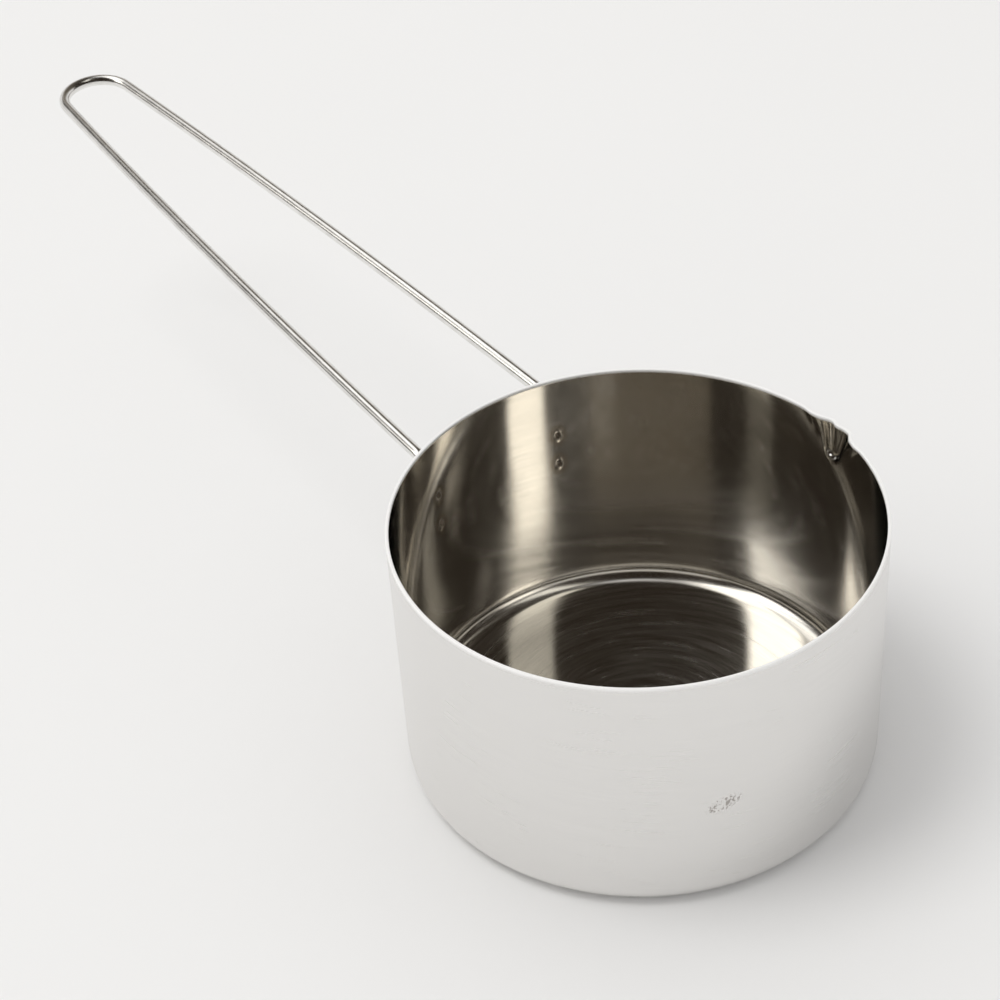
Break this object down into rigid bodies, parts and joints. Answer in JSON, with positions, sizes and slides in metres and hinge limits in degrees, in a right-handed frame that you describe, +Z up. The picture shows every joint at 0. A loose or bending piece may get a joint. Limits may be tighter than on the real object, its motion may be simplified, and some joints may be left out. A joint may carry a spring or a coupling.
{
  "type": "candle melting pot",
  "caption": "Small round steel melting pot with a pinched pour lip and a long, narrow bent-wire loop handle welded to the outside of its wall.",
  "frame": {"origin": "centre of the base's underside, on the surface that the pot stands on", "axes": "+Z up along the cup's axis; the handle points along -X; the pour lip is near +Y"},
  "size_m": [0.3045, 0.1113, 0.0733],
  "materials": {
    "drawn_steel": "satin outside, fine circumferential brush lines inside",
    "bright_wire": "polished stainless wire",
    "weld_metal": "dull fused metal with a faint straw tint"
  },
  "bodies": {
    "root": {"pot_cup": "drawn_steel", "wire_handle": "bright_wire", "weld_left_upper": "weld_metal", "weld_left_lower": "weld_metal", "weld_right_upper": "weld_metal", "weld_right_lower": "weld_metal"}
  },
  "joints": []
}
